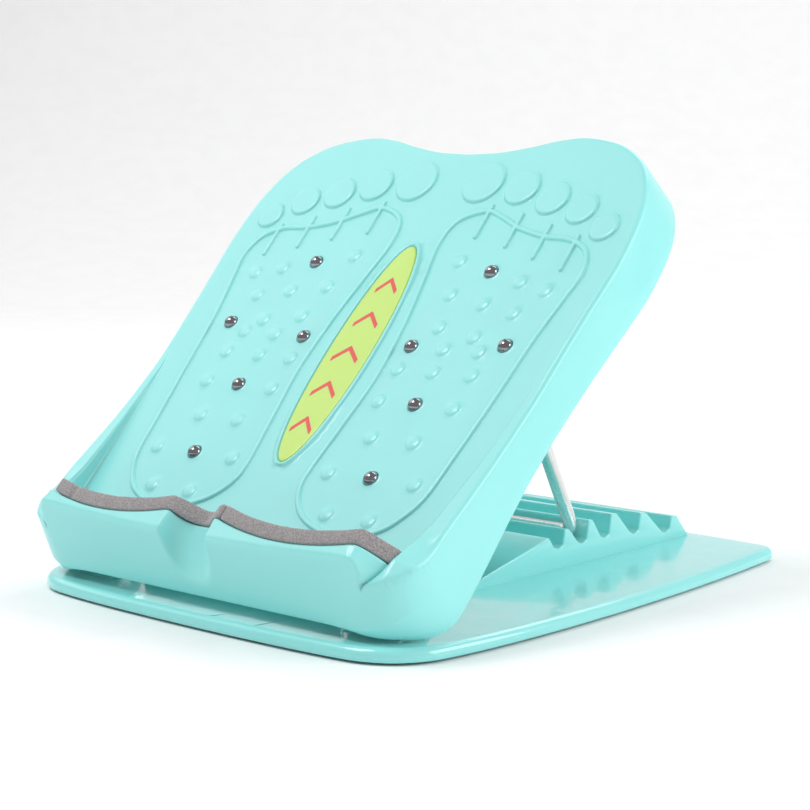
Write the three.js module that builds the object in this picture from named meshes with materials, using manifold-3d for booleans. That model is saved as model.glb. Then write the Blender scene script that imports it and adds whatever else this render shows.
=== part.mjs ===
// Folding slant board for calf stretching: a moulded foot plate hinged to a thin base, held up by a
// steel wire stand whose cross-bar drops into one of five notches in a rack.
// Millimetres, +Z up, X across the board, +Y from the heel edge to the toe edge.
import * as THREE from 'three';
import { mergeVertices } from 'three/addons/utils/BufferGeometryUtils.js';
import Module from 'manifold-3d';

const wasm = await Module();
wasm.setup();

// ---- driving dimensions -------------------------------------------------------------------------
const GAP = 0.35;                 // clearance between neighbouring pieces
const CENTRE_Y = 152.7;            // middle of the object, measured back from the heel line
const TILT = 46.3 * Math.PI / 180; // slope of the foot plate with the stand in the second notch
const PLATE_Z = 18.7;             // height at which the deck plane crosses the heel line

const BASE_TOP = 8;
const BASE_FLOOR = 1.2;           // the skirt ends this far above the ground, on rubber feet
const BASE_WALL = 3;
const RACK_HALF = 78;
const NOTCH_COUNT = 5;

const DECK_HALF = 137;            // half width of the foot plate
const DECK_TOE = 306.8;             // tip of each toe lobe, along the slope
const DECK_DIP = 295.2;           // bottom of the dip between the lobes
const DECK_WALL = 3;
const SKIRT = 29.5;               // greatest depth of the side walls below the deck
const CORNER = 32;                // plan radius of the two heel corners
const STOP_TOP = 33.5;            // height of the heel stop above the deck
const STOP_REAR = 20.3;           // rear face of the heel stop, along the slope
const STOP_FOOT = -6.9;           // foot of the front wall, along the slope
const STOP_LEAN = 0.46;           // how fast the front wall leans back with height
const CUP_X = 65;                 // middle of each heel cup
const CUP_FLOOR = 14.2;
const CUP_RADIUS = 170;
const CUP_LEDGE = 3.2;            // height of the floor inside the heel cups
const FENCE_X = 125.5;            // inner face of the side fences
const FENCE_END = 127;            // where the fences run out into the deck

const PAD_THICK = 8.3;
const PAD_TOP = 34.5;
const HINGE = { v: 14.7, w: -12 }; // plate hinge, in the plate's own slope and height
const HINGE_X = 103;              // middle of each hinge block
const BLOCK_HALF = 18;            // half the width of a hinge block
const PIN_R = 2.5;

const ROD_R = 4;
const ROD_X = 71;
const PIVOT = { v: 194, w: -12 };  // stand pivot under the plate
const CROSSBAR = { y: 209.8, z: 24.45 };
const BEND = 8;                   // size of the stand's bends
const STUB = 26;                  // length of each bent-out end of the stand

const BALL_R = 4.2;
const BUMP_R = 4.6;
const BUMP_H = 1.7;
const RIB_W = 2.4;
const RIB_H = 1.1;

// ---- materials ------------------------------------------------------------------------------------
const paint = (color, roughness, metalness) => new THREE.MeshStandardMaterial({ color, roughness, metalness });
const MINT = paint(0x9fe9e4, 0.28, 0);
const LIME = paint(0xbfe04f, 0.4, 0);
const FOAM = paint(0x8f8688, 0.95, 0);
const CHROME = paint(0xd9dbdd, 0.08, 1);
const STEEL = paint(0xb9b9bb, 0.25, 1);
const RUBBER = paint(0x4a4d50, 0.85, 0);

// ---- small helpers ---------------------------------------------------------------------------------
function solid(geometry) {
  const bare = geometry.index ? geometry.toNonIndexed() : geometry.clone();
  bare.deleteAttribute('normal');
  bare.deleteAttribute('uv');
  const merged = mergeVertices(bare, 1e-3);
  return new wasm.Manifold(new wasm.Mesh({
    numProp: 3,
    vertProperties: new Float32Array(merged.attributes.position.array),
    triVerts: new Uint32Array(merged.index.array),
  }));
}

function toGeometry(body) {
  const mesh = body.getMesh();
  const geometry = new THREE.BufferGeometry();
  geometry.setAttribute('position', new THREE.BufferAttribute(new Float32Array(mesh.vertProperties), 3));
  geometry.setIndex(new THREE.BufferAttribute(new Uint32Array(mesh.triVerts), 1));
  return geometry;
}

const joinAll = (bodies) => bodies.reduce((sum, body) => sum.add(body));
const shapeOf = (points) => new THREE.Shape(points.map(([a, b]) => new THREE.Vector2(a, b)));

// A prism across the board: the outline is given as (along, up) pairs.
function across(points, x0, x1, steps = 1) {
  const geometry = new THREE.ExtrudeGeometry(shapeOf(points), { depth: x1 - x0, steps, bevelEnabled: false });
  const toBoard = new THREE.Matrix4().makeBasis(
    new THREE.Vector3(0, 1, 0), new THREE.Vector3(0, 0, 1), new THREE.Vector3(1, 0, 0));
  return geometry.applyMatrix4(toBoard.setPosition(x0, 0, 0));
}

// A prism standing on the board: the outline is given as a shape in (x, along).
function upright(shape, w0, w1, curveSegments = 12) {
  return new THREE.ExtrudeGeometry(shape, { depth: w1 - w0, bevelEnabled: false, curveSegments }).translate(0, 0, w0);
}

// A prism running up the slope: the outline is given as (x, height) pairs.
function alongSlope(points, v0, v1) {
  return solid(new THREE.ExtrudeGeometry(shapeOf(points), { depth: v1 - v0, bevelEnabled: false })
    .rotateX(Math.PI / 2).translate(0, v1, 0));
}

function cylinder(radius, length, axis, at, segments = 24) {
  const geometry = new THREE.CylinderGeometry(radius, radius, length, segments);
  if (axis === 'x') geometry.rotateZ(Math.PI / 2);
  if (axis === 'z') geometry.rotateX(Math.PI / 2);
  return geometry.translate(...at);
}

// A skin through a row of matching rings of points, capped at both ends unless it closes on itself.
function loft(rings, closed = false) {
  const n = rings[0].length;
  const index = [];
  for (let i = 0; i < rings.length - (closed ? 0 : 1); i++) {
    for (let k = 0; k < n; k++) {
      const a = n * i + k;
      const b = n * i + (k + 1) % n;
      const c = (a + n) % (n * rings.length);
      const d = (b + n) % (n * rings.length);
      index.push(a, b, c, b, d, c);
    }
  }
  const last = n * (rings.length - 1);
  for (let k = 1; k < n - 1 && !closed; k++) index.push(0, k + 1, k, last, last + k, last + k + 1);
  const geometry = new THREE.BufferGeometry();
  geometry.setAttribute('position', new THREE.Float32BufferAttribute(rings.flat(2), 3));
  geometry.setIndex(index);
  return geometry;
}

const box = (x0, x1, y0, y1, z0, z1) => new THREE.BoxGeometry(x1 - x0, y1 - y0, z1 - z0)
  .translate((x0 + x1) / 2, (y0 + y1) / 2, (z0 + z1) / 2);

// The deck is very slightly dished: lowest in the middle, rising toward every edge.
const crown = (x) => 1.09 * (x / 100) ** 2;
const dish = (x, v) => 1.33 * ((v - 165) / 100) ** 2 + crown(x);

function dished(geometry) {
  const p = geometry.attributes.position;
  for (let i = 0; i < p.count; i++) {
    if (p.getZ(i) > -20) p.setZ(i, p.getZ(i) + crown(p.getX(i)));
  }
  return geometry;
}

const toBase = (v, w) => [
  v * Math.cos(TILT) - w * Math.sin(TILT),
  PLATE_Z + v * Math.sin(TILT) + w * Math.cos(TILT),
];
const toPlate = (y, z) => [
  y * Math.cos(TILT) + (z - PLATE_Z) * Math.sin(TILT),
  -y * Math.sin(TILT) + (z - PLATE_Z) * Math.cos(TILT),
];

// ---- base plate ------------------------------------------------------------------------------------
function baseShape(inset) {
  const shape = new THREE.Shape();
  const side = (s) => ({ front: -16.5 + inset, rear: 324 - inset, x: (value) => s * (value - inset) });
  const right = side(1);
  const left = side(-1);
  shape.moveTo(0, right.front);
  shape.quadraticCurveTo(right.x(70), right.front, right.x(104), right.front + 4.5);
  shape.bezierCurveTo(right.x(122), right.front + 6.8, right.x(135), 2, right.x(139), 18);
  shape.bezierCurveTo(right.x(150), 70, right.x(150), 200, right.x(136), 310 - inset);
  shape.quadraticCurveTo(right.x(134.5), right.rear - 4, right.x(126), right.rear - 3);
  shape.quadraticCurveTo(right.x(60), right.rear, 0, right.rear);
  shape.quadraticCurveTo(left.x(60), left.rear, left.x(126), left.rear - 3);
  shape.quadraticCurveTo(left.x(134.5), left.rear - 4, left.x(136), 310 - inset);
  shape.bezierCurveTo(left.x(150), 200, left.x(150), 70, left.x(139), 18);
  shape.bezierCurveTo(left.x(135), 2, left.x(122), left.front + 6.8, left.x(104), left.front + 4.5);
  shape.quadraticCurveTo(left.x(70), left.front, 0, left.front);
  return shape;
}

// Rack teeth, front to back: where each notch floor begins, its height and the tooth behind it.
const NOTCHES = [
  { y: 184.2, z: 20.2, tooth: 29.6 },
  { y: 206.0, z: 20.0, tooth: 31.5 },
  { y: 227.2, z: 20.0, tooth: 31.9 },
  { y: 256.0, z: 18.0, tooth: 28.4 },
  { y: 287.6, z: 14.0, tooth: 22.2 },
].slice(0, NOTCH_COUNT);
const NOTCH_FLOOR = 7.4;
const RAMP_FOOT = 92;
const RACK_REAR = 316;

function rackProfile() {
  const points = [[RAMP_FOOT, BASE_TOP - 1], [177, 26], [178.9, 26.2]];
  NOTCHES.forEach(({ y, z, tooth }, i) => {
    points.push([y - 1, z + 0.8], [y + 0.6, z - 0.2], [y + NOTCH_FLOOR - 1.6, z - 0.6], [y + NOTCH_FLOOR, z + 0.6]);
    points.push([y + NOTCH_FLOOR + 2, tooth - 1], [y + NOTCH_FLOOR + 3.3, tooth]);
    points.push([y + NOTCH_FLOOR + (i < 2 ? 5.4 : 7), tooth - 1]);
  });
  points.push([RACK_REAR, BASE_TOP - 1]);
  return points;
}

const [hingeY, hingeZ] = toBase(HINGE.v, HINGE.w);

function hingeBlock(x) {
  const profile = [[6, BASE_TOP - 1], [6, BASE_TOP + 0.2], [11, 10.6], [hingeY - 8.5, 13.5], [hingeY - 7, hingeZ + 1]];
  for (let i = 1; i <= 7; i++) {
    const angle = Math.PI * (1 - i / 8);
    profile.push([hingeY + 7 * Math.cos(angle), hingeZ + 1 + 6 * Math.sin(angle)]);
  }
  profile.push([hingeY + 7, hingeZ + 1], [hingeY + 13, BASE_TOP - 1]);
  return solid(across(profile, x - BLOCK_HALF, x + BLOCK_HALF));
}

const FEET = [-1, 1].flatMap((side) => [[side * 108, 14], [side * 126, 150], [side * 112, 298]]);
const FOOT_R = 9;

function basePlate() {
  const edge = 4;
  const slab = solid(new THREE.ExtrudeGeometry(baseShape(edge), {
    depth: 6, bevelThickness: edge, bevelSize: edge, bevelSegments: 3, curveSegments: 7,
  }).translate(0, 0, BASE_TOP - 10));
  const rack = solid(across(rackProfile(), -RACK_HALF, RACK_HALF));
  let body = slab.subtract(solid(box(-200, 200, -60, 400, -20, BASE_FLOOR)));
  body = joinAll([body, rack, hingeBlock(-HINGE_X), hingeBlock(HINGE_X)]);
  const underside = solid(upright(baseShape(BASE_WALL + 2.2), -5, BASE_TOP - BASE_WALL, 5));
  const rackInside = solid(across([[110, 0], [110, 8.5], [181, 16.4], [234, 16.4], [262, 14], [290, 10.4], [306, 8],
    [306, 0]], -RACK_HALF + BASE_WALL, RACK_HALF - BASE_WALL));
  body = body.subtract(underside).subtract(rackInside);
  for (const x of [-HINGE_X, HINGE_X]) {
    body = body.subtract(solid(cylinder(PIN_R + GAP, 2 * BLOCK_HALF + 4, 'x', [x, hingeY, hingeZ], 16)));
  }
  const ribs = [-40, 0, 40].map((x) => solid(box(x - 1.2, x + 1.2, -10, 318, BASE_FLOOR + 1, BASE_TOP - 1)));
  const bosses = FEET.map(([x, y]) => solid(cylinder(FOOT_R + 2.4, BASE_TOP - BASE_FLOOR - 1.6, 'z',
    [x, y, BASE_FLOOR + (BASE_TOP - BASE_FLOOR - 1.6) / 2 + 0.6], 20)));
  const blockTie = solid(box(-72, 72, 20, 23, BASE_TOP - 1, 18));
  body = joinAll([body, blockTie, ...ribs, ...bosses]);
  for (const [x, y] of FEET) {
    body = body.subtract(solid(cylinder(FOOT_R + GAP, 8, 'z', [x, y, 0], 20)));
  }
  return toGeometry(body);
}

// ---- foot plate --------------------------------------------------------------------------------------
function deckShape(inset) {
  const toe = DECK_TOE - inset;
  const dip = DECK_DIP - inset;
  const edge = DECK_HALF - inset;
  const half = [[edge, 105], [edge + 1, 150], [edge + 2.8, 185], [edge + 4.8, 212], [edge + 5.2, 228],
    [edge + 3.8, 248], [edge - 0.2, toe - 41], [edge - 7.5, toe - 26], [edge - 16.5, toe - 15.6],
    [edge - 30.5, toe - 6.8], [91 - inset * 0.4, toe - 2], [75, toe], [58, toe - 2.2], [42, toe - 6.4],
    [22, dip + 1.4]];
  const outline = [...half, [0, dip], ...half.slice().reverse().map(([x, v]) => [-x, v])];
  const shape = new THREE.Shape();
  shape.moveTo(-edge, -80);
  shape.lineTo(edge, -80);
  shape.lineTo(edge, 105);
  shape.splineThru(outline.slice(1).map(([x, v]) => new THREE.Vector2(x, v)));
  return shape;
}

// Side view of the plate without its fences: walls, heel chamfer, front wall, heel stop and dished deck.
function sideProfile() {
  const front = (w) => STOP_FOOT + STOP_LEAN * w;
  const points = [[330, -SKIRT], [260, -SKIRT], [223, -SKIRT + 1], [157, -24], [112, -21.5], [75, -22.4], [36, -25], [25, -24.8], [12, -22.5],
    [6.8, -20], [-0.3, -12.8], [-4, -9], [-6.5, -5], [front(1.5), 1.5],
    [front(STOP_TOP - 3.5), STOP_TOP - 3.5], [front(STOP_TOP) - 0.2, STOP_TOP - 1], [front(STOP_TOP) + 1.6, STOP_TOP],
    [STOP_REAR, STOP_TOP], [STOP_REAR, dish(0, STOP_REAR)]];
  for (let v = 50; v < 330; v += 35) points.push([v, dish(0, v)]);
  points.push([330, dish(0, 330)]);
  return points;
}

const fenceTop = [[22, 20.5], [27, 19.2], [38, 15], [60, 11.2], [94, 6.4], [FENCE_END, 2.2]];

function heelStopCuts() {
  const cuts = [];
  for (const side of [-1, 1]) {
    cuts.push(solid(cylinder(CUP_RADIUS, 60, 'z', [side * CUP_X, CUP_FLOOR + CUP_RADIUS, 32], 160))
      .intersect(solid(box(side * CUP_X - 46, side * CUP_X + 46, 0, STOP_REAR + 0.01, CUP_LEDGE, 60))));
    const scoop = [[108, 60], [108, STOP_TOP + 0.1], [112.5, 32], [117, 28], [121.5, 22.4], [FENCE_X, 18.4], [FENCE_X, 60]];
    cuts.push(alongSlope(side > 0 ? scoop : scoop.map(([x, w]) => [-x, w]).reverse(), -20, STOP_REAR + 0.5));
    const outer = side > 0 ? [FENCE_X - 0.01, 150] : [-150, -FENCE_X + 0.01];
    cuts.push(solid(across([[-40, 21], ...fenceTop, [FENCE_END, 60], [-40, 60]], ...outer)));
  }
  const centre = new THREE.CylinderGeometry(25, 25, 80, 36);
  centre.rotateX(0.53).translate(0, 0.5, 40.5);
  cuts.push(solid(centre).intersect(solid(box(-40, 40, -60, STOP_REAR + 0.5, 0, 60))));
  return cuts;
}

// The inside of the moulding, open below, with hollow heel stops.
function plateInside() {
  const t = DECK_WALL;
  const wide = DECK_HALF + 8;
  const front = (w) => STOP_FOOT + STOP_LEAN * w + t + 0.8;
  const top = [];
  for (let v = 330; v >= 25; v -= 43.5) top.push([v, dish(0, v) - t]);
  const profile = [[330, -60], ...top, [19, -0.4], [15, 6], [-40, 6], [-40, -60]];
  const hollow = solid(dished(across(profile, -wide, wide, 8)))
    .intersect(solid(upright(deckShape(t), -70, 60, 5)))
    .intersect(heelLimit(t));
  const pockets = [-1, 1].map((side) => {
    const [x0, x1] = side > 0 ? [31, 101] : [-101, -31];
    return solid(across([[front(4), 4], [front(25), 25], [CUP_FLOOR - t, 25], [CUP_FLOOR - t, 4]], x0, x1));
  });
  return joinAll([hollow, ...pockets]);
}

// Footprint of one foot (the right one): a closed raised rib round the sole.
const SOLE = [[17.2, 228], [21.5, 245], [38, 252.5], [52, 248], [66, 241.5], [86, 236], [104, 234.2], [117.5, 227],
  [123, 213], [120.5, 196], [115.6, 168], [112, 130], [108, 93], [105, 69], [99, 56], [89, 45.5], [69, 38.5],
  [49, 41.5], [34, 48.5], [24.5, 60], [22.3, 73], [25.5, 105], [28.4, 137], [26.2, 172], [21.6, 201]];
const TOES = [[24.5, 272.6, 13.4], [53.5, 269.3, 11], [77.9, 262.1, 10.4], [100.8, 255.2, 9.6], [121.4, 243.1, 8.6]];
const TENDONS = [[39.5, 245.3], [63.3, 239.6], [86, 232.5], [108, 225.4]];
const TENDON_LENGTH = 25;
const TENDON_R = 1.4;

// Massage points, row by row from the toes to the heel; a row leans by its slope.
const ROWS = [
  { v: 217, slope: -0.25, bumps: [38.3, 86.5, 105.5], ball: 63.9 },
  { v: 195.5, slope: -0.2, bumps: [45, 70.2, 93.2] },
  { v: 174.4, slope: -0.18, bumps: [50.3, 76.6], ball: 100 },
  { v: 158.6, slope: 0, bumps: [61.4, 85.4], ball: 39.4 },
  { v: 143.5, slope: 0, bumps: [39.4, 63.4, 89.3] },
  { v: 122.2, slope: 0, bumps: [39.2, 89.7], ball: 64.5 },
  { v: 99.3, slope: 0, bumps: [48.7, 77.6] },
  { v: 74.9, slope: 0, bumps: [35.2, 93.7], ball: 64.5 },
  { v: 50.5, slope: 0, bumps: [50.1, 79.2] },
];
const rowPoint = (row, x) => [x, row.v + row.slope * (x - 40)];
const BUMPS = ROWS.flatMap((row) => row.bumps.map((x) => rowPoint(row, x)));
const BALLS = ROWS.filter((row) => row.ball).map((row) => rowPoint(row, row.ball));

// A low rib running round a closed loop on the deck.
function ribAround(loop) {
  const curve = new THREE.CatmullRomCurve3(loop.map(([x, v]) => new THREE.Vector3(x, v, 0)), true);
  const count = 46;
  const section = [[-RIB_W / 2, -1.2], [-RIB_W * 0.22, RIB_H], [RIB_W * 0.22, RIB_H], [RIB_W / 2, -1.2]];
  const rings = Array.from({ length: count }, (_, i) => {
    const { x, y } = curve.getPointAt(i / count);
    const along = curve.getTangentAt(i / count);
    return section.map(([out, lift]) => [x + along.y * out, y - along.x * out, dish(x, y) + lift]);
  });
  return loft(rings, true);
}

const lathe = (profile, segments) => new THREE.LatheGeometry(profile.map(([r, h]) => new THREE.Vector2(r, h)), segments)
  .rotateX(Math.PI / 2);

const LENS = { centre: 151.5, half: 74.6, width: 15.7 };
function lensShape(grow) {
  const shape = new THREE.Shape();
  shape.absellipse(0, LENS.centre, LENS.width + grow, LENS.half + grow, 0, 2 * Math.PI);
  return shape;
}

function reliefOf(side) {
  const raised = [];
  for (const [x, v] of BUMPS) {
    const dome = lathe([[0, -0.6], [BUMP_R, -0.6], [BUMP_R * 0.66, BUMP_H * 0.72], [0, BUMP_H]], 8);
    raised.push(solid(dome.translate(side * x, v, dish(x, v))));
  }
  for (const [x, v, r] of TOES) {
    const disc = lathe([[0, -1.2], [r + 0.2, -1.2], [r - 0.8, 1.4], [0, 1.4]], 16).scale(1, 1.06, 1);
    raised.push(solid(disc.translate(side * x, v, dish(x, v))));
  }
  for (const [x, v] of TENDONS) {
    const bar = new THREE.CapsuleGeometry(TENDON_R, TENDON_LENGTH - 2 * TENDON_R, 2, 8).scale(1, 1, 0.8);
    raised.push(solid(bar.translate(side * x, v, dish(x, v) + 0.1)));
  }
  const loop = SOLE.map(([x, v]) => [side * x, v]);
  raised.push(solid(ribAround(side > 0 ? loop : loop.reverse())));
  return raised;
}

function footPlate() {
  let body = solid(dished(across(sideProfile(), -DECK_HALF - 6, DECK_HALF + 6, 8)))
    .intersect(solid(upright(deckShape(0), -SKIRT - 5, 60, 5)))
    .intersect(heelLimit(0));
  body = body.subtract(alongSlope([[-118, -9.5], [-105, -2.6], [-85, 0.5], [85, 0.5], [105, -2.6], [118, -9.5], [118, -50],
    [-118, -50]], -30, 16));
  for (const cut of heelStopCuts()) body = body.subtract(cut);
  for (const side of [-1, 1]) {
    const [x0, x1] = side > 0 ? [FENCE_X, DECK_HALF - 0.01] : [-DECK_HALF + 0.01, -FENCE_X];
    body = body.add(solid(across([...fenceTop, [FENCE_END, -1], [22, -1]], x0, x1)));
  }
  body = body.subtract(plateInside());
  body = joinAll([body, ...undersideFittings()]);
  for (const side of [-1, 1]) {
    body = joinAll([body, ...reliefOf(side)]);
    for (const [x, v] of BALLS) {
      body = body.subtract(solid(new THREE.SphereGeometry(BALL_R + GAP, 10, 6).rotateX(Math.PI / 2)
        .translate(side * x, v, dish(x, v) - 0.6)));
    }
    const x = side * HINGE_X;
    body = body.subtract(solid(cylinder(PIN_R + GAP, 2 * BLOCK_HALF + 20, 'x', [x, HINGE.v, HINGE.w], 16)));
    body = body.subtract(solid(cylinder(ROD_R + GAP, STUB + 14, 'x', [side * (ROD_X + STUB / 2), PIVOT.v, PIVOT.w], 20)));
    for (const offset of [-SCREW_V, SCREW_V]) {
      body = body.subtract(solid(cylinder(1.9, 10, 'z', [side * CLIP_X, PIVOT.v + offset, PIVOT.w], 12)));
    }
  }
  const rim = solid(upright(lensShape(2.6), -1, 1.5, 14)).subtract(solid(upright(lensShape(GAP), -4, 4, 14)));
  body = body.add(rim).subtract(solid(upright(lensShape(GAP), -0.9, 4, 14)));
  return toGeometry(body);
}

// Everything behind the front wall, whose rounded corners lean back with height.
function heelLimit(inset) {
  const edge = DECK_HALF - inset;
  const r = CORNER - inset;
  const heel = STOP_FOOT + inset;
  const shape = new THREE.Shape();
  shape.moveTo(0, heel);
  shape.absarc(edge - r, heel + r, r, -Math.PI / 2, 0);
  shape.lineTo(edge + 30, 400);
  shape.lineTo(-edge - 30, 400);
  shape.absarc(-edge + r, heel + r, r, Math.PI, 1.5 * Math.PI);
  const body = upright(shape, -80, 60, 6);
  return solid(body.applyMatrix4(new THREE.Matrix4().makeShear(0, 0, 0, 0, 0, STOP_LEAN)));
}

const LUG_X = [HINGE_X - BLOCK_HALF - 2.6, HINGE_X + BLOCK_HALF + 2.6];
const CLIP_X = ROD_X + STUB / 2 + 3;
const CLIP_HALF = 7;
const SCREW_V = 13;

function undersideFittings() {
  const parts = [];
  for (const side of [-1, 1]) {
    for (const x of LUG_X) {
      const rise = crown(x);
      const lug = across([[HINGE.v - 5.6, HINGE.w], [HINGE.v - 4, HINGE.w - 4], [HINGE.v, HINGE.w - 5.6],
        [HINGE.v + 4, HINGE.w - 4], [HINGE.v + 5.6, HINGE.w], [HINGE.v + 16, rise + 0.5], [HINGE.v + 1, rise + 1],
        [HINGE.v - 5, rise + 5], [HINGE.v - 9, rise + 5]], side * x - 2, side * x + 2);
      parts.push(solid(lug));
    }
    const seat = across([[PIVOT.v - SCREW_V - 5, PIVOT.w], [PIVOT.v + SCREW_V + 5, PIVOT.w], [PIVOT.v + SCREW_V + 7, -1.5],
      [PIVOT.v - SCREW_V - 7, -1.5]], side * CLIP_X - CLIP_HALF - 2, side * CLIP_X + CLIP_HALF + 2);
    parts.push(solid(seat));
  }
  for (const x of [-104, -36, 0, 36, 104]) {
    const top = [285, 230, 165, 100, 34].map((v) => [v, dish(x, v) - DECK_WALL + 0.5]);
    parts.push(solid(across([[40, -7], [280, -7], ...top], x - 1.2, x + 1.2)));
  }
  return parts;
}

// ---- pieces carried by the foot plate -----------------------------------------------------------------
function labelInsert() {
  return new THREE.ExtrudeGeometry(lensShape(-0.8), {
    depth: 1.2, bevelThickness: 0.5, bevelSize: 0.7, bevelSegments: 1, curveSegments: 14,
  });
}

const cupLine = (x) => {
  const reach = Math.min(Math.abs(Math.abs(x) - CUP_X), 45.5);
  return CUP_FLOOR + CUP_RADIUS - Math.sqrt(CUP_RADIUS ** 2 - reach ** 2);
};

// Height of a pad's top edge: level on the heel stops, dropping into the hollows beside them.
function padTop(x) {
  const a = Math.abs(x);
  if (a < 18) return PAD_TOP - 9.5 * (0.5 + 0.5 * Math.cos(Math.PI * a / 18));
  if (a > 111) return PAD_TOP - 16 * Math.sin(Math.PI / 2 * Math.min((a - 111) / 14, 1));
  return PAD_TOP;
}

function heelPad(x0, x1) {
  const count = 26;
  const rings = Array.from({ length: count + 1 }, (_, i) => {
    const x = x0 + (x1 - x0) * i / count;
    const front = cupLine(x) + GAP;
    const rear = front + PAD_THICK;
    const low = CUP_LEDGE + crown(x) + GAP;
    return [[x, front, low], [x, rear, low], [x, rear, padTop(x)], [x, front, padTop(x)]];
  });
  return loft(rings);
}

// ---- stand ----------------------------------------------------------------------------------------------
// One wire: a bent-out stub, a leg, the cross-bar, the other leg and its stub.
function wireStand() {
  const [footV, footW] = toPlate(CROSSBAR.y, CROSSBAR.z);
  const top = (x) => new THREE.Vector3(x, PIVOT.v, PIVOT.w);
  const foot = (x) => new THREE.Vector3(x, footV, footW);
  const corners = [top(-ROD_X - STUB), top(-ROD_X), foot(-ROD_X), foot(ROD_X), top(ROD_X), top(ROD_X + STUB)];
  const flat = new THREE.Vector3().subVectors(top(0), foot(0)).cross(new THREE.Vector3(1, 0, 0)).normalize();
  const sides = 14;
  const ring = (centre, along) => {
    const across = new THREE.Vector3().crossVectors(along, flat);
    return Array.from({ length: sides }, (_, k) => {
      const angle = 2 * Math.PI * k / sides;
      return centre.clone().addScaledVector(flat, ROD_R * Math.sin(angle))
        .addScaledVector(across, -ROD_R * Math.cos(angle)).toArray();
    });
  };
  const heading = corners.slice(1).map((corner, i) => corner.clone().sub(corners[i]).normalize());
  const rings = [ring(corners[0], heading[0])];
  for (let i = 1; i < corners.length - 1; i++) {
    const start = corners[i].clone().addScaledVector(heading[i - 1], -BEND);
    const end = corners[i].clone().addScaledVector(heading[i], BEND);
    const bend = new THREE.QuadraticBezierCurve3(start, corners[i], end);
    for (let k = 0; k <= 5; k++) rings.push(ring(bend.getPoint(k / 5), bend.getTangent(k / 5)));
  }
  rings.push(ring(corners.at(-1), heading.at(-1)));
  return loft(rings);
}

function standClip() {
  const inner = ROD_R + GAP;
  const outer = inner + 2.2;
  const points = [];
  const arc = (r, from, to, n) => {
    for (let i = 0; i <= n; i++) {
      const angle = from + (to - from) * i / n;
      points.push([r * Math.cos(angle), r * Math.sin(angle)]);
    }
  };
  points.push([SCREW_V + 4.5, -GAP], [inner, -GAP]);
  arc(inner, -0.2, -Math.PI + 0.2, 10);
  points.push([-inner, -GAP], [-SCREW_V - 4.5, -GAP], [-SCREW_V - 4.5, -2.5], [-outer - 0.6, -2.5]);
  arc(outer, -Math.PI + 0.5, -0.5, 10);
  points.push([outer + 0.6, -2.5], [SCREW_V + 4.5, -2.5]);
  let clip = solid(across(points, -CLIP_HALF, CLIP_HALF));
  for (const v of [-SCREW_V, SCREW_V]) clip = clip.subtract(solid(cylinder(1.9, 12, 'z', [0, v, 0], 12)));
  return toGeometry(clip);
}

const clipScrew = () => lathe([[0, -5], [3.2, -5], [3.2, -3.6], [2.6, -2.85], [1.5, -2.85], [1.5, 3.6], [0, 4.4]], 12);

// ---- hinge pins and feet ----------------------------------------------------------------------------------
const PIN_HALF = BLOCK_HALF + 6.4;
const hingePin = () => lathe([[0, -PIN_HALF - 2], [PIN_R + 1.6, -PIN_HALF - 2], [PIN_R + 1.6, -PIN_HALF + 0.4],
  [PIN_R, -PIN_HALF + 0.4], [PIN_R, PIN_HALF], [PIN_R - 0.6, PIN_HALF + 0.8], [0, PIN_HALF + 0.8]], 14);
const pushNut = () => lathe([[PIN_R + GAP, -0.7], [PIN_R + 2.6, -0.7], [PIN_R + 2.6, 0.3], [PIN_R + 1.2, 0.9],
  [PIN_R + GAP, 0.9], [PIN_R + GAP, -0.7]], 14);
const rubberFoot = () => lathe([[0, 0], [FOOT_R - 0.8, 0], [FOOT_R, 0.7], [FOOT_R, 3.6], [0, 3.6]], 18);

// ---- assembly -----------------------------------------------------------------------------------------------
const board = new THREE.Group();
board.position.y = -CENTRE_Y;
const plate = new THREE.Group();
plate.position.z = PLATE_Z;
plate.rotation.x = TILT;
board.add(plate);

function place(parent, name, geometry, material, at = [0, 0, 0], turn = [0, 0, 0]) {
  const mesh = new THREE.Mesh(geometry, material);
  mesh.name = name;
  mesh.position.set(...at);
  mesh.rotation.set(...turn);
  parent.add(mesh);
}

place(board, 'base_plate', basePlate(), MINT);
place(plate, 'foot_plate', footPlate(), MINT);
place(plate, 'label_insert', labelInsert(), LIME);
place(plate, 'heel_pad_left', heelPad(-107, 19.6), FOAM);
place(plate, 'heel_pad_right', heelPad(20, FENCE_X - 1), FOAM);
place(plate, 'wire_stand', wireStand(), STEEL);

for (const [word, side] of [['left', -1], ['right', 1]]) {
  BALLS.forEach(([x, v], i) => {
    place(plate, `steel_ball_${word}_${i + 1}`, new THREE.SphereGeometry(BALL_R, 12, 7).rotateX(Math.PI / 2), CHROME,
      [side * x, v, dish(x, v) - 0.6]);
  });
  place(plate, `stand_clip_${word}`, standClip(), STEEL, [side * CLIP_X, PIVOT.v, PIVOT.w]);
  [-SCREW_V, SCREW_V].forEach((offset, i) => {
    place(plate, `clip_screw_${word}_${i + 1}`, clipScrew(), STEEL, [side * CLIP_X, PIVOT.v + offset, PIVOT.w]);
  });
  place(board, `hinge_pin_${word}`, hingePin(), STEEL, [side * HINGE_X, hingeY, hingeZ], [0, side * Math.PI / 2, 0]);
  place(board, `hinge_push_nut_${word}`, pushNut(), STEEL,
    [side * (HINGE_X + PIN_HALF - 0.9), hingeY, hingeZ], [0, side * Math.PI / 2, 0]);
}
FEET.forEach(([x, y], i) => place(board, `rubber_foot_${i + 1}`, rubberFoot(), RUBBER, [x, y, 0]));

export default board;
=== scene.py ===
import math

import bmesh
import bpy
import numpy as np
from mathutils import Matrix, Vector
from mathutils.geometry import delaunay_2d_cdt


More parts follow.
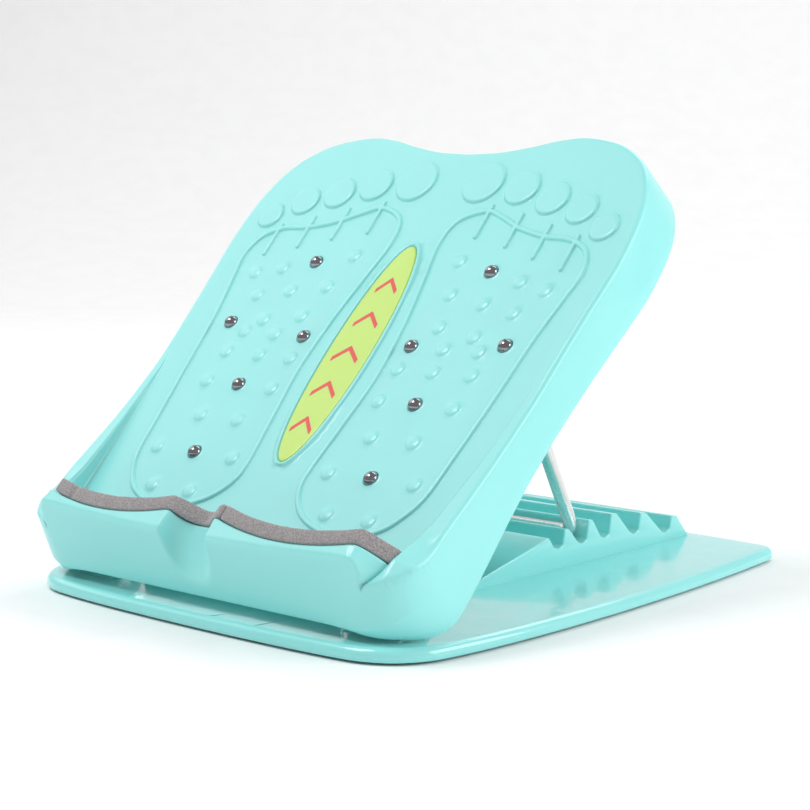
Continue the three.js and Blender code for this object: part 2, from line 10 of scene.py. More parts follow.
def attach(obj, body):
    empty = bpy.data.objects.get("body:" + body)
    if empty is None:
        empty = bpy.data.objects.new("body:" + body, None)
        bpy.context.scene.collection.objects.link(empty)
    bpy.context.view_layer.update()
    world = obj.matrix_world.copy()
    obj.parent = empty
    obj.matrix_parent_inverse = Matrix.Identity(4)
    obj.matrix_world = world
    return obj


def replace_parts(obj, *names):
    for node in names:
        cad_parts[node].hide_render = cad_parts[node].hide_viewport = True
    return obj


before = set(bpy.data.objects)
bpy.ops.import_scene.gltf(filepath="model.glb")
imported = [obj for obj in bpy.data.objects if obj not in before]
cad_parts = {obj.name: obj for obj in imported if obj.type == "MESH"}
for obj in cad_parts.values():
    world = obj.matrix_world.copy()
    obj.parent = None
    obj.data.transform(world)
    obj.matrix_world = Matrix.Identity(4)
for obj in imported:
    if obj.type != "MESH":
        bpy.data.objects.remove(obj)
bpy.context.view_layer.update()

# Everything below is worked out in millimetres and scaled to metres when a mesh is made.
MM = 0.001
CENTRE_Y = 152.7
TILT = math.radians(46.3)
PLATE_Z = 18.7
PLATE = Matrix.Translation((0, -CENTRE_Y * MM, PLATE_Z * MM)) @ Matrix.Rotation(TILT, 4, "X")
BASE = Matrix.Translation((0, -CENTRE_Y * MM, 0))

STOP_TOP = 33.5
STOP_REAR = 20.3
STOP_FOOT = -6.9
CUP_X, CUP_FLOOR, CUP_RADIUS, CUP_REACH = 65, 14.2, 170, 45.5
FENCE_END = 127
WALL = 3
PAD_THICK = 8.3
PAD_TOP = 34.5
GAP = 0.35
ROD_R = 4
ROD_X = 71
STUB = 26
PIVOT = (194, -12)
CROSSBAR = (209.8, 24.45)
HINGE = (14.7, -12)
HINGE_X = 103
BLOCK_HALF = 18
BALL_R = 4.2
BASE_TOP = 8
RACK_HALF = 78


# ---- small helpers ------------------------------------------------------------------------------
def smoothstep(a, b, x):
    t = np.clip((x - a) / (b - a), 0, 1)
    return t * t * (3 - 2 * t)


def smooth_min(a, b, k):
    h = np.clip(0.5 + 0.5 * (b - a) / k, 0, 1)
    return b * (1 - h) + a * h - k * h * (1 - h)


def smooth_max(a, b, k):
    return -smooth_min(-a, -b, k)


def to_base(v, w):
    return (v * math.cos(TILT) - w * math.sin(TILT), PLATE_Z + v * math.sin(TILT) + w * math.cos(TILT))


def to_plate(y, z):
    return (y * math.cos(TILT) + (z - PLATE_Z) * math.sin(TILT),
            -y * math.sin(TILT) + (z - PLATE_Z) * math.cos(TILT))


def catmull(points, spacing, closed=True):
    """Points about `spacing` apart along a centripetal-free Catmull-Rom curve through the given ones."""
    p = np.array(points, float)
    n = len(p)
    fine = []
    for i in range(n if closed else n - 1):
        if closed:
            a, b, c, d = p[(i - 1) % n], p[i], p[(i + 1) % n], p[(i + 2) % n]
        else:
            a, b, c, d = p[max(i - 1, 0)], p[i], p[i + 1], p[min(i + 2, n - 1)]
        steps = 24
        t = (np.arange(steps) / steps)[:, None]
        fine.append(0.5 * ((2 * b) + (c - a) * t + (2 * a - 5 * b + 4 * c - d) * t ** 2
                           + (3 * b - a - 3 * c + d) * t ** 3))
    fine = np.vstack(fine + [p[:1] if closed else p[-1:]])
    return resample(fine, spacing, closed)


def resample(line, spacing, closed=True):
    """Evenly spaced points along a dense line; a closed line repeats its first point at its end."""
    seg = np.linalg.norm(np.diff(line, axis=0), axis=1)
    run = np.concatenate([[0], np.cumsum(seg)])
    count = max(int(round(run[-1] / spacing)), 8)
    at = np.linspace(0, run[-1], count + 1)
    if closed:
        at = at[:-1]
    return np.column_stack([np.interp(at, run, line[:, k]) for k in range(line.shape[1])])


def inset(loop, d):
    """A closed, counter-clockwise loop moved inward by d."""
    ahead = np.roll(loop, -1, axis=0) - loop
    ahead /= np.linalg.norm(ahead, axis=1)[:, None]
    behind = np.roll(ahead, 1, axis=0)
    normal = np.column_stack([-(ahead + behind)[:, 1], (ahead + behind)[:, 0]])
    normal /= np.linalg.norm(normal, axis=1)[:, None]
    reach = np.maximum(-normal[:, 0] * ahead[:, 1] + normal[:, 1] * ahead[:, 0], 0.6)
    return loop + d * normal / reach[:, None]


def inside(points, loop):
    """Even-odd test of many points against one closed loop."""
    x, y = points[:, 0], points[:, 1]
    hit = np.zeros(len(points), bool)
    for (x0, y0), (x1, y1) in zip(loop, np.roll(loop, -1, axis=0)):
        if y0 == y1:
            continue
        cross = (y0 > y) != (y1 > y)
        hit ^= cross & (x < x0 + (y - y0) * (x1 - x0) / (y1 - y0))
    return hit


class Sheet:
    """Collects points on a plan, then triangulates them inside an outline and outside its holes."""

    def __init__(self, outline, holes=()):
        self.loops = [np.asarray(outline)] + [np.asarray(h) for h in holes]
        self.extra = []

    def add(self, points):
        self.extra.append(np.asarray(points, float).reshape(-1, 2))

    def lattice(self, pitch, clearance):
        """Fills the outline with a staggered lattice, keeping clear of every point already placed."""
        outline = self.loops[0]
        lo, hi = outline.min(0), outline.max(0)
        ys = np.arange(lo[1], hi[1], pitch * 0.866)
        rows = [np.column_stack([np.arange(lo[0] + (k % 2) * pitch / 2, hi[0], pitch), np.full(len(
            np.arange(lo[0] + (k % 2) * pitch / 2, hi[0], pitch)), y)]) for k, y in enumerate(ys)]
        return self.clear(np.vstack(rows), clearance)

    def clear(self, points, clearance):
        placed = np.vstack(self.loops + self.extra)
        cell = clearance
        taken = set()
        for i, j in np.floor(placed / cell).astype(int):
            taken.update((i + a, j + b) for a in (-1, 0, 1) for b in (-1, 0, 1))
        keep = np.array([(i, j) not in taken for i, j in np.floor(points / cell).astype(int)])
        points = points[keep]
        points = points[inside(points, self.loops[0])]
        for hole in self.loops[1:]:
            points = points[~inside(points, hole)]
        return points

    def triangles(self):
        points = np.vstack(self.loops + self.extra)
        edges, first = [], 0
        for loop in self.loops:
            n = len(loop)
            edges += [(first + i, first + (i + 1) % n) for i in range(n)]
            first += n
        verts, _, faces, source, _, _ = delaunay_2d_cdt(
            [Vector(p) for p in points], edges, [], 0, 1e-5, True)
        out = np.array([v[:] for v in verts])
        faces = np.array([f for f in faces if len(f) == 3])
        centre = out[faces].mean(1)
        keep = inside(centre, self.loops[0])
        for hole in self.loops[1:]:
            keep &= ~inside(centre, hole)
        faces = faces[keep]
        a, b, c = (out[faces[:, k]] for k in range(3))
        turn = (b[:, 0] - a[:, 0]) * (c[:, 1] - a[:, 1]) - (b[:, 1] - a[:, 1]) * (c[:, 0] - a[:, 0])
        faces[turn < 0] = faces[turn < 0][:, ::-1]
        index = {}
        for new, olds in enumerate(source):
            for old in olds:
                index[old] = new
        loops, first = [], 0
        for loop in self.loops:
            loops.append([index[first + i] for i in range(len(loop))])
            first += len(loop)
        return out, faces, loops


class Builder:
    """Gathers vertices and faces of one piece."""

    def __init__(self):
        self.verts, self.faces, self.count = [], [], 0

    def add(self, verts, faces):
        first = self.count
        verts = np.asarray(verts, float).reshape(-1, 3)
        self.verts.append(verts)
        self.faces += [tuple(first + i for i in f) for f in faces]
        self.count += len(verts)
        return first

    def loop(self, verts):
        return [self.add([v], []) for v in verts]

    def bridge(self, a, b):
        """Quads between two matching closed loops of vertex numbers, with the outside to the right of a to b."""
        n = len(a)
        self.faces += [(a[i], a[(i + 1) % n], b[(i + 1) % n], b[i]) for i in range(n)]

    def make(self, name, matrix, material, body, smooth=True, sharp=None, slot=None):
        mesh = bpy.data.meshes.new(name)
        verts = np.vstack(self.verts) * MM
        mesh.from_pydata(verts.tolist(), [], [tuple(int(i) for i in f) for f in self.faces])
        return finish_piece(mesh, name, matrix, material, body, smooth, sharp)


def finish_piece(mesh, name, matrix, material, body, smooth=True, sharp=None):
    mesh.transform(matrix)
    bm = bmesh.new()
    bm.from_mesh(mesh)
    bmesh.ops.remove_doubles(bm, verts=bm.verts, dist=2e-6)
    bmesh.ops.recalc_face_normals(bm, faces=bm.faces)
    bm.to_mesh(mesh)
    bm.free()
    for p in mesh.polygons:
        p.use_smooth = smooth
    if sharp:
        mesh.set_sharp_from_angle(angle=math.radians(sharp))
    mesh.materials.append(material)
    piece = bpy.data.objects.new(name, mesh)
    bpy.context.scene.collection.objects.link(piece)
    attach(piece, body)
    return piece


def loft(rings, closed=False, caps=True):
    """Vertices and faces through a row of matching closed rings."""
    rings = np.asarray(rings, float)
    m, n = rings.shape[:2]
    faces = []
    for i in range(m if closed else m - 1):
        for k in range(n):
            a, b = i * n + k, i * n + (k + 1) % n
            c, d = ((i + 1) % m) * n + k, ((i + 1) % m) * n + (k + 1) % n
            faces.append((a, b, d, c))
    if caps and not closed:
        faces += [tuple(range(n - 1, -1, -1)), tuple(range((m - 1) * n, m * n))]
    return rings.reshape(-1, 3), faces


def lathe(profile, sides=48):
    """A turned solid round Z; the profile runs from the axis back to the axis as (radius, height)."""
    b = Builder()
    previous = None
    for r, h in profile:
        if r < 1e-6:
            ring = [b.add([(0, 0, h)], [])] * sides
        else:
            angle = np.arange(sides) * 2 * math.pi / sides
            first = b.add(np.column_stack([r * np.cos(angle), r * np.sin(angle), np.full(sides, h)]), [])
            ring = [first + i for i in range(sides)]
        if previous:
            for i in range(sides):
                face = [previous[i], previous[(i + 1) % sides], ring[(i + 1) % sides], ring[i]]
                face = [f for k, f in enumerate(face) if f not in face[:k]]
                if len(face) > 2:
                    b.faces.append(tuple(face))
        previous = ring
    return b


def rounded(points, radius, steps=4, closed=True):
    """A polygon with its corners rounded; radius is one number or one per corner."""
    p = np.array(points, float)
    n = len(p)
    radii = np.full(n, radius, float) if np.isscalar(radius) else np.array(radius, float)
    out = []
    for i in range(n):
        if not closed and i in (0, n - 1) or radii[i] <= 0:
            out.append(p[i])
            continue
        a, b = p[(i - 1) % n] - p[i], p[(i + 1) % n] - p[i]
        la, lb = np.linalg.norm(a), np.linalg.norm(b)
        a, b = a / la, b / lb
        half = math.acos(float(np.clip(a @ b, -1, 1))) / 2
        if half > math.pi / 2 - 0.02:
            out.append(p[i])
            continue
        reach = min(radii[i] / math.tan(half), 0.49 * la, 0.49 * lb)
        for t in np.linspace(0, 1, steps + 1):
            out.append((1 - t) ** 2 * (p[i] + a * reach) + 2 * t * (1 - t) * p[i] + t * t * (p[i] + b * reach))
    return np.array(out)


# ---- materials ----------------------------------------------------------------------------------
def new_material(name):
    material = bpy.data.materials.new(name)
    material.use_nodes = True
    tree = material.node_tree
    return material, tree.nodes, tree.links, tree.nodes["Principled BSDF"]


def noise(nodes, links, scale, detail=3, stretch=None):
    coords = nodes.new("ShaderNodeTexCoord")
    texture = nodes.new("ShaderNodeTexNoise")
    texture.inputs["Scale"].default_value = scale
    texture.inputs["Detail"].default_value = detail
    if stretch:
        mapping = nodes.new("ShaderNodeMapping")
        mapping.inputs["Scale"].default_value = stretch
        links.new(coords.outputs["Object"], mapping.inputs["Vector"])
        links.new(mapping.outputs["Vector"], texture.inputs["Vector"])
    else:
        links.new(coords.outputs["Object"], texture.inputs["Vector"])
    return texture


def ramp(nodes, links, source, low, high, start=0.35, end=0.65):
    node = nodes.new("ShaderNodeValToRGB")
    node.color_ramp.elements[0].position = start
    node.color_ramp.elements[1].position = end
    node.color_ramp.elements[0].color = (*low, 1)
    node.color_ramp.elements[1].color = (*high, 1)
    links.new(source, node.inputs["Fac"])
    return node


def bump(nodes, links, shader, height, strength, distance):
    node = nodes.new("ShaderNodeBump")
    node.inputs["Strength"].default_value = strength
    node.inputs["Distance"].default_value = distance
    links.new(height, node.inputs["Height"])
    links.new(node.outputs["Normal"], shader.inputs["Normal"])
    return node


def grey(value):
    return (value, value, value)


def moulded_plastic(name, colour, shade, rough=(0.16, 0.26), coat=0.4):
    """Glossy injection-moulded plastic: faint flow-line colour drift, uneven gloss and a very fine skin."""
    material, nodes, links, shader = new_material(name)
    drift = noise(nodes, links, 9, 2)
    tint = ramp(nodes, links, drift.outputs["Fac"], shade, colour, 0.3, 0.7)
    links.new(tint.outputs["Color"], shader.inputs["Base Color"])
    gloss = noise(nodes, links, 60, 4)
    roughness = ramp(nodes, links, gloss.outputs["Fac"], grey(rough[0]), grey(rough[1]))
    links.new(roughness.outputs["Color"], shader.inputs["Roughness"])
    skin = noise(nodes, links, 900, 2)
    bump(nodes, links, shader, skin.outputs["Fac"], 0.05, 0.0001)
    shader.inputs["Specular IOR Level"].default_value = 0.5
    shader.inputs["Coat Weight"].default_value = coat
    shader.inputs["Coat Roughness"].default_value = 0.06
    shader.inputs["Subsurface Weight"].default_value = 0.12
    shader.inputs["Subsurface Radius"].default_value = (0.002, 0.006, 0.006)
    shader.inputs["Subsurface Scale"].default_value = 0.6
    return material


def steel(name, colour, rough, stretch=None):
    """Drawn or plated steel with fine scratches along its length."""
    material, nodes, links, shader = new_material(name)
    shader.inputs["Metallic"].default_value = 1
    grain = noise(nodes, links, 350, 3, stretch)
    tint = ramp(nodes, links, grain.outputs["Fac"], tuple(c * 0.86 for c in colour), colour)
    links.new(tint.outputs["Color"], shader.inputs["Base Color"])
    roughness = ramp(nodes, links, grain.outputs["Fac"], grey(rough * 0.7), grey(rough * 1.5))
    links.new(roughness.outputs["Color"], shader.inputs["Roughness"])
    bump(nodes, links, shader, grain.outputs["Fac"], 0.06, 0.00008)
    return material


def foam(name):
    """Closed-cell foam faced with grey felt: speckled, matte, slightly fuzzy."""
    material, nodes, links, shader = new_material(name)
    speck = noise(nodes, links, 1500, 3)
    tint = ramp(nodes, links, speck.outputs["Fac"], (0.17, 0.155, 0.158), (0.40, 0.375, 0.38), 0.3, 0.7)
    links.new(tint.outputs["Color"], shader.inputs["Base Color"])
    wear = noise(nodes, links, 70, 3)
    roughness = ramp(nodes, links, wear.outputs["Fac"], grey(0.85), grey(0.98))
    links.new(roughness.outputs["Color"], shader.inputs["Roughness"])
    fuzz = noise(nodes, links, 800, 5)
    bump(nodes, links, shader, fuzz.outputs["Fac"], 0.7, 0.0005)
    shader.inputs["Sheen Weight"].default_value = 0.35
    shader.inputs["Sheen Roughness"].default_value = 0.6
    shader.inputs["Specular IOR Level"].default_value = 0.2
    return material


def rubber(name):
    material, nodes, links, shader = new_material(name)
    grain = noise(nodes, links, 400, 4)
    tint = ramp(nodes, links, grain.outputs["Fac"], (0.035, 0.036, 0.038), (0.07, 0.071, 0.074))
    links.new(tint.outputs["Color"], shader.inputs["Base Color"])
    roughness = ramp(nodes, links, grain.outputs["Fac"], grey(0.7), grey(0.9))
    links.new(roughness.outputs["Color"], shader.inputs["Roughness"])
    bump(nodes, links, shader, grain.outputs["Fac"], 0.3, 0.0003)
    return material


MINT_TINT, MINT_SHADE = (0.31, 0.785, 0.77), (0.29, 0.77, 0.755)
SATIN_ROUGH, SATIN_COAT = (0.28, 0.38), 0.12
MINT = moulded_plastic("mint_plastic", MINT_TINT, MINT_SHADE)
MINT_SATIN = moulded_plastic("mint_plastic_satin", MINT_TINT, MINT_SHADE, SATIN_ROUGH, SATIN_COAT)
LIME = moulded_plastic("lime_plastic", (0.55, 0.78, 0.15), (0.52, 0.76, 0.13), (0.3, 0.42))
PRINT = moulded_plastic("red_print", (0.78, 0.035, 0.02), (0.72, 0.03, 0.018), (0.3, 0.4))
FOAM = foam("grey_foam")
ROD_STEEL = steel("steel_rod", (0.80, 0.79, 0.78), 0.2, (1, 12, 12))
FITTING_STEEL = steel("fittings_steel", (0.72, 0.72, 0.71), 0.3)
# The balls' steel colour is set far darker than polished steel so that their reflections come out dark: painted
# reflection.
BALL_STEEL_DARKENED_REFLECTION = steel("polished_ball", (0.30, 0.30, 0.32), 0.04)
RUBBER = rubber("foot_rubber")


# ---- foot plate ---------------------------------------------------------------------------------
SOLE = [(17.2, 228), (21.5, 245), (38, 252.5), (52, 248), (66, 241.5), (86, 236), (104, 234.2), (117.5, 227),
        (123, 213), (120.5, 196), (115.6, 168), (112, 130), (108, 93), (105, 69), (99, 56), (89, 45.5), (69, 38.5),
        (49, 41.5), (34, 48.5), (24.5, 60), (22.3, 73), (25.5, 105), (28.4, 137), (26.2, 172), (21.6, 201)]
TOES = [(24.5, 272.6, 13.4), (53.5, 269.3, 11), (77.9, 262.1, 10.4), (100.8, 255.2, 9.6), (121.4, 243.1, 8.6)]
TENDONS = [(39.5, 245.3), (63.3, 239.6), (86, 232.5), (108, 225.4)]
TENDON_HALF = 11
ROWS = [(217, -0.25, (38.3, 86.5, 105.5), 63.9), (195.5, -0.2, (45, 70.2, 93.2), None),
        (174.4, -0.18, (50.3, 76.6), 100),
        (158.6, 0, (61.4, 85.4), 39.4), (143.5, 0, (39.4, 63.4, 89.3), None), (122.2, 0, (39.2, 89.7), 64.5),
        (99.3, 0, (48.7, 77.6), None), (74.9, 0, (35.2, 93.7), 64.5), (50.5, 0, (50.1, 79.2), None)]
BUMPS = [(s * x, v + slope * (x - 40)) for v, slope, xs, _ in ROWS for x in xs for s in (-1, 1)]
BALLS = {side: [(s * x, v + slope * (x - 40)) for v, slope, _, x in ROWS if x]
         for side, s in (("left", -1), ("right", 1))}
BUMP_R, BUMP_H = 4.7, 1.35
POCKET_R = BALL_R + 0.3
CORNER = 32
LENS_V, LENS_HALF, LENS_WIDE = 151.5, 74.6, 15.7

HALF_OUTLINE = [(137, 60), (137, 105), (138, 150), (139.8, 185), (141.8, 212), (142.2, 228), (140.8, 248),
                (136.8, 266), (129.5, 281), (120.5, 291.2), (106.5, 300), (91, 304.8), (75, 306.8), (58, 304.6),
                (42, 300.4), (22, 296.6)]


def crown(x):
    return 1.09 * (x / 100) ** 2


def dish(x, v):
    return 1.33 * ((v - 165) / 100) ** 2 + crown(x)


def lens_loop(grow, spacing=1.2):
    """The oval outline of the label, grown outward."""
    t = np.linspace(0, 2 * math.pi, 240)
    ellipse = np.column_stack([(LENS_WIDE + grow) * np.cos(t), LENS_V + (LENS_HALF + grow) * np.sin(t)])
    return resample(ellipse, spacing)


def plate_outline(spacing=1.3):
    """Plan of the foot plate, counter-clockwise from the heel end's right corner."""
    arc = [(137 - CORNER + CORNER * math.sin(a), STOP_FOOT + CORNER - CORNER * math.cos(a))
           for a in np.linspace(0, math.pi / 2, 24)]
    right = catmull(HALF_OUTLINE + [(0, 295.2)], 1, closed=False)
    right = np.vstack([arc, right])
    left = right[::-1][1:] * (-1, 1)
    return resample(np.vstack([right, left, right[:1]]), spacing)


OUTLINE = plate_outline()


def front_line(x, r=CORNER):
    """Where the foot of the front wall runs, across the board, with corners of radius r."""
    over = np.clip(np.abs(x) - (137 - r), 0, r)
    return STOP_FOOT + r - np.sqrt(r ** 2 - over ** 2)


def fence_line(v):
    """Inner face of the side fences; at the heel it curls round the corner and dies out on the front wall."""
    straight = 125 + 0.062 * np.clip(v - 30, 0, 110)
    curl = np.interp(v, (-7, 3, 6, 9, 12.5, 16.5, 21, 26), (109.5, 112.6, 115.6, 118.3, 120.8, 122.9, 124.4, 125))
    return np.where(v < 26, curl, straight)


FENCE_TOP = [(-10, 21.2), (22, 21.2), (27, 19.4), (38, 14.8), (49, 11.6), (68, 8.6), (87, 5.9), (105, 3.9),
             (127, 2.1), (140, 1.6)]


def cup_line(x):
    reach = np.minimum(np.abs(np.abs(x) - CUP_X), CUP_REACH)
    return CUP_FLOOR + CUP_RADIUS - np.sqrt(CUP_RADIUS ** 2 - reach ** 2)


def relief(x, v):
    """Raised footprints, massage bumps and the label's rim."""
    a = np.abs(x)
    up = np.zeros_like(x)
    for cx, cv, r in TOES:
        d = np.hypot(a - cx, (v - cv) / 1.06) - r
        up = np.maximum(up, 1.2 * smoothstep(0.25, -0.1, d) + 0.35 * smoothstep(-0.1, -1.1, d))
    for cx, cv in TENDONS:
        d = np.hypot(a - cx, np.maximum(np.abs(v - cv) - TENDON_HALF, 0))
        up = np.maximum(up, 1.1 * smoothstep(1.5, 1.1, d) + 0.25 * smoothstep(1.1, 0.4, d))
    box = (a > 12) & (a < 128) & (v > 33) & (v < 260)
    d = np.full_like(x, 99.0)
    d[box] = distance(np.column_stack([a[box], v[box]]), SOLE_LINE)
    up = np.maximum(up, 1.15 * smoothstep(1.65, 1.2, d) + 0.3 * smoothstep(1.2, 0.4, d))
    for cx, cv in BUMPS:
        d = np.hypot(x - cx, v - cv) / BUMP_R
        near = d < 1.3
        dome = BUMP_H * np.sqrt(np.clip(1 - d[near] ** 2, 0, None))
        up[near] = np.maximum(up[near], smooth_max(dome - 0.2, np.zeros(near.sum()), 0.3))
    for points in BALLS.values():
        for cx, cv in points:
            d = np.hypot(x - cx, v - cv)
            near = d < POCKET_R + 3
            up[near] = np.maximum(up[near], 0.3 * smoothstep(POCKET_R + 1.3, POCKET_R + 0.5, d[near]))
    edge = lens_gap(x, v)
    up = np.maximum(up, 1.2 * smoothstep(2.35, 1.95, edge) * smoothstep(-0.05, 0.35, edge))
    up[edge < 0] = -1.0
    return up


def lens_gap(x, v):
    """Distance outward from the label's edge, near enough."""
    p, q = x / LENS_WIDE, (v - LENS_V) / LENS_HALF
    level = np.hypot(p, q)
    slope = np.hypot(p / LENS_WIDE, q / LENS_HALF) / np.maximum(level, 1e-6)
    return (level - 1) / np.maximum(slope, 1e-6)


def distance(points, line):
    """Shortest distance from each point to the points of a closed loop, worked through in blocks of points."""
    best = np.full(len(points), 99.0)
    if not len(points):
        return best
    for first in range(0, len(points), 4000):
        block = points[first:first + 4000]
        gap = block[:, None, :] - line[None, :, :]
        best[first:first + 4000] = np.sqrt((gap ** 2).sum(2).min(1))
    return best


SOLE_LINE = catmull(SOLE, 0.5)


def deck_top(x, v):
    """Height of the moulding's upper skin at a plan point, before its outer edge is rounded."""
    a = np.abs(x)
    deck = dish(x, v) + relief(x, v)
    spout = 10.8 + 0.634 * v + 22 * (1 - (1 - np.minimum(a / 17, 0.999) ** 2.7) ** (1 / 2.7))
    stop = smooth_min(np.full_like(x, STOP_TOP + 0.6), spout, 3.6)
    fence_at = fence_line(v)
    shoulder = 108.5 + 3.5 * smoothstep(20, 8, v)
    valley = 14.6 + 0.19 * v
    t = np.clip((a - shoulder) / np.maximum(fence_at - shoulder, 0.5), 0, 1)
    side = valley + (STOP_TOP + 0.4 - valley) * np.cos(math.pi / 2 * t)
    stop = smooth_min(stop, np.where(a < shoulder, STOP_TOP + 4, side), 1.0)
    top = deck + (stop - deck) * smoothstep(0.5, -0.5, v - cup_line(x))
    fence = (np.interp(v, *zip(*FENCE_TOP)) + crown(x) * 0.4
             - 5 * smoothstep(52, 24, v) * np.clip((a - 126) / 11, 0, 1))
    over = smoothstep(-0.5, 0.4, a - fence_at)
    raised = np.where(fence > top, top + (fence - top) * over, top)
    lean = 0.456 + 0.11 * np.minimum(a / 105, 1.15) ** 2
    front = (v - front_line(x)) / lean + 0.7
    front = (v - front_line(x, CORNER - 12 * np.clip(front / 33, 0, 1))) / lean + 0.7
    return smooth_min(raised, front, 3.6 - 2 * smoothstep(100, 110, a))


def ceiling(x, v):
    """Height of the moulding's lower skin."""
    a = np.abs(x)
    flat = dish(x, v) - WALL
    lean = 0.5
    front = (v - front_line(x) - WALL - 1) / lean - 2
    pocket = np.minimum(26, front) * smoothstep(CUP_FLOOR - WALL + 0.6, CUP_FLOOR - WALL - 0.6, v)
    inside_pocket = smoothstep(29.5, 31.5, a) * smoothstep(102, 100, a)
    return np.where((pocket > flat) & (inside_pocket > 0), flat + (pocket - flat) * inside_pocket, flat)


HEEL_RIM = [(85, 0.7), (98, -0.6), (105, -2.1), (112, -4.7), (118, -7.9), (124, -11.6), (131, -19.3), (135, -23),
            (137, -24.8)]
SIDE_RIM = [(25, -24.8), (35, -25), (54, -24), (75, -22.4), (98, -21.4), (126, -22), (157, -24), (190, -26.4),
            (223, -28.4), (260, -29.4)]


def skirt_bottom(x, v):
    """Height of the moulding's lower rim at each point of its outline."""
    return np.where(v < 25, np.interp(np.abs(x), *zip(*HEEL_RIM)), np.interp(v, *zip(*SIDE_RIM)))


def ring_round(cx, cv, r, stretch=1.0, spacing=0.9):
    n = max(int(2 * math.pi * r / spacing), 8)
    angle = np.arange(n) * 2 * math.pi / n
    return np.column_stack([cx + r * np.cos(angle), cv + r * stretch * np.sin(angle)])


def foot_plate():
    b = Builder()
    pockets = [ring_round(cx, cv, POCKET_R, spacing=0.7) for points in BALLS.values() for cx, cv in points]
    edge_in = (0, 0.15, 0.45, 0.9, 1.5, 2.2, 3.2, 4.6, 6.4)
    edge_r = 2.6
    sheet = Sheet(OUTLINE, pockets)
    for d in edge_in[1:]:
        sheet.add(inset(OUTLINE, d))
    for points in BALLS.values():
        for cx, cv in points:
            for r in (0.45, 1.0, 1.6):
                sheet.add(ring_round(cx, cv, POCKET_R + r))
    for s in (-1, 1):
        for cx, cv, r in TOES:
            for d in (-2.4, -1.1, -0.6, -0.1, 0.08, 0.25, 0.9):
                sheet.add(ring_round(s * cx, cv, r + d, 1.06))
        for cx, cv in TENDONS:
            along = np.arange(-TENDON_HALF, TENDON_HALF + 0.1, 1.1)
            for r in (0, 0.5, 1.1, 1.3, 1.5, 2.1):
                arc = np.linspace(0, math.pi, 7)
                end = np.column_stack([r * np.cos(arc), r * np.sin(arc) + TENDON_HALF])
                sides = [np.column_stack([np.full_like(along, k * r), along]) for k in (-1, 1)]
                sheet.add(np.vstack([end, end * (1, -1)] + sides) + (s * cx, cv))
    for cx, cv in BUMPS:
        for r in (0.3, 0.55, 0.75, 0.88, 0.97, 1.06):
            sheet.add(ring_round(cx, cv, r * BUMP_R, spacing=1.1))
        sheet.add([(cx, cv)])
    for grow in (-1.2, -0.05, 0.12, 0.35, 1.1, 1.95, 2.15, 2.4, 3.2):
        sheet.add(lens_loop(grow, 1.3))
    line = catmull(SOLE, 1.1)
    for s in (-1, 1):
        for d in (-2.3, -1.65, -1.42, -1.2, -0.6, 0, 0.6, 1.2, 1.42, 1.65, 2.3):
            sheet.add(inset(line, d) * (s, 1))
    run = np.arange(4, FENCE_END + 12, 1.2)
    for s in (-1, 1):
        for off in (-1.4, -0.5, -0.2, 0.1, 0.4, 1.2, 2.4):
            sheet.add(np.column_stack([s * (fence_line(run) + off), run]))
    across = np.arange(-123, 123.1, 1.0)
    for off in (-1.4, -0.5, 0, 0.5, 1.4):
        sheet.add(np.column_stack([across, cup_line(across) + off]))
    dense = sheet.lattice(0.85, 0.55)
    sheet.add(dense[dense[:, 1] < STOP_REAR + 3])
    sheet.add(sheet.lattice(2.4, 1.1))
    plan, faces, loops = sheet.triangles()
    x, v = plan[:, 0], plan[:, 1]
    w = deck_top(x, v)
    near = distance(plan, OUTLINE)
    hold = smoothstep(8, 14, v)                       # the foot of the front wall keeps its full height
    drop = edge_r - np.sqrt(np.clip(edge_r ** 2 - np.clip(edge_r - near, 0, None) ** 2, 0, None))
    w = w - drop * hold
    first = b.add(np.column_stack([x, v, w]), (faces + 0).tolist())
    rim = [first + i for i in loops[0]]
    for cut in loops[1:]:
        wall = [first + i for i in cut]
        ring = plan[cut]
        lower = b.loop(np.column_stack([ring, dish(ring[:, 0], ring[:, 1]) - 2.2]))
        b.bridge(wall, lower)
        centre = ring.mean(0)
        small = b.loop(np.column_stack([centre + (ring - centre) * 0.8, dish(ring[:, 0], ring[:, 1]) - 2.6]))
        b.bridge(lower, small)
        b.faces.append(tuple(small))
    bottom = skirt_bottom(OUTLINE[:, 0], OUTLINE[:, 1])
    edge_top = w[loops[0]]
    flare = 1.4 * smoothstep(20, 120, OUTLINE[:, 1])[:, None]      # draft of the tall side walls
    outward = inset(OUTLINE, -1) - OUTLINE
    previous = rim
    for share in (0.25, 0.5, 0.75):
        level = b.loop(np.column_stack([OUTLINE + outward * flare * share,
                                        edge_top + (bottom + 0.5 - edge_top) * share]))
        b.bridge(level, previous)
        previous = level
    for depth, lift in ((0, 0.5), (0.15, 0.15), (0.5, 0), (WALL - 0.5, 0), (WALL - 0.1, 0.3)):
        level = b.loop(np.column_stack([OUTLINE + outward * (flare - depth), bottom + lift]))
        b.bridge(level, previous)
        previous = level
    inner = inset(OUTLINE, WALL)
    under = Sheet(inner)
    under.add(inset(OUTLINE, WALL + 1.5))
    fine = under.lattice(1.6, 0.8)
    under.add(fine[fine[:, 1] < CUP_FLOOR + 2])
    under.add(under.lattice(6, 3))
    plan, faces, loops = under.triangles()
    first = b.add(np.column_stack([plan, ceiling(plan[:, 0], plan[:, 1])]), faces[:, ::-1].tolist())
    b.bridge([first + i for i in loops[0]], previous)
    return b.make("foot_plate_moulding", PLATE, MINT_SATIN, "plate", slot="mint_plastic")


